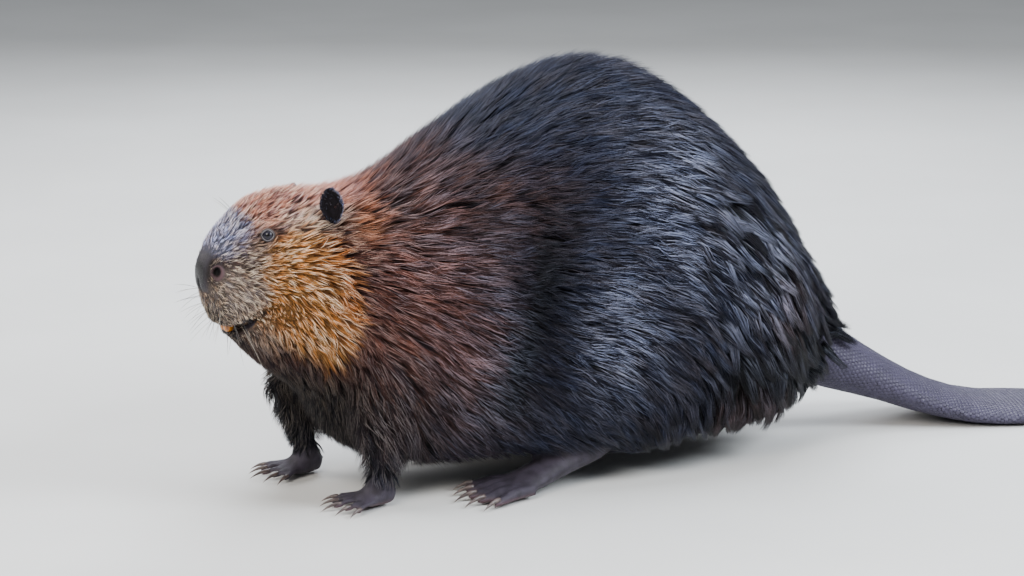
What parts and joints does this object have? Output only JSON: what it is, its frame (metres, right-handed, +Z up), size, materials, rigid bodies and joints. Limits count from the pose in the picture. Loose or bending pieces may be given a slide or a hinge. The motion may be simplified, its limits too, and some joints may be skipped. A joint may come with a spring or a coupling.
{
  "type": "beaver",
  "caption": "Life-size beaver standing on all fours with an arched back, a blunt orange-cheeked head, webbed hind feet and a flat scaly tail lying on the floor.",
  "frame": {"origin": "on the floor, under the middle of the animal's bounding box", "axes": "+Z up from the floor, -Y towards the nose, +X to the animal's left"},
  "size_m": [0.2814, 0.9608, 0.385],
  "materials": {
    "fur": "dense guard hair over wool, dark brown with a rufous neck and golden cheeks; naked dark skin on the feet",
    "ear_skin": "dark skin with short down",
    "tail_scales": "blue-grey scaly skin, satin",
    "eye": "wet and glossy",
    "enamel": "orange enamel, glossy",
    "claw": "dark horn, satin"
  },
  "bodies": {
    "root": {"trunk": "fur", "neck": "fur", "head": "fur", "foreleg_left": "fur", "foreleg_right": "fur", "hindleg_left": "fur", "hindleg_right": "fur", "ear_left": "ear_skin", "ear_right": "ear_skin", "eye_left": "eye", "eye_right": "eye", "incisors": "enamel", "tail": "tail_scales", "foreclaw_left_1": "claw", "foreclaw_left_2": "claw", "foreclaw_left_3": "claw", "foreclaw_left_4": "claw", "foreclaw_left_5": "claw", "foreclaw_right_1": "claw", "foreclaw_right_2": "claw", "foreclaw_right_3": "claw", "foreclaw_right_4": "claw", "foreclaw_right_5": "claw", "hindclaw_left_1": "claw", "hindclaw_left_2": "claw", "hindclaw_left_3": "claw", "hindclaw_left_4": "claw", "hindclaw_left_5": "claw", "hindclaw_right_1": "claw", "hindclaw_right_2": "claw", "hindclaw_right_3": "claw", "hindclaw_right_4": "claw", "hindclaw_right_5": "claw"}
  },
  "joints": []
}
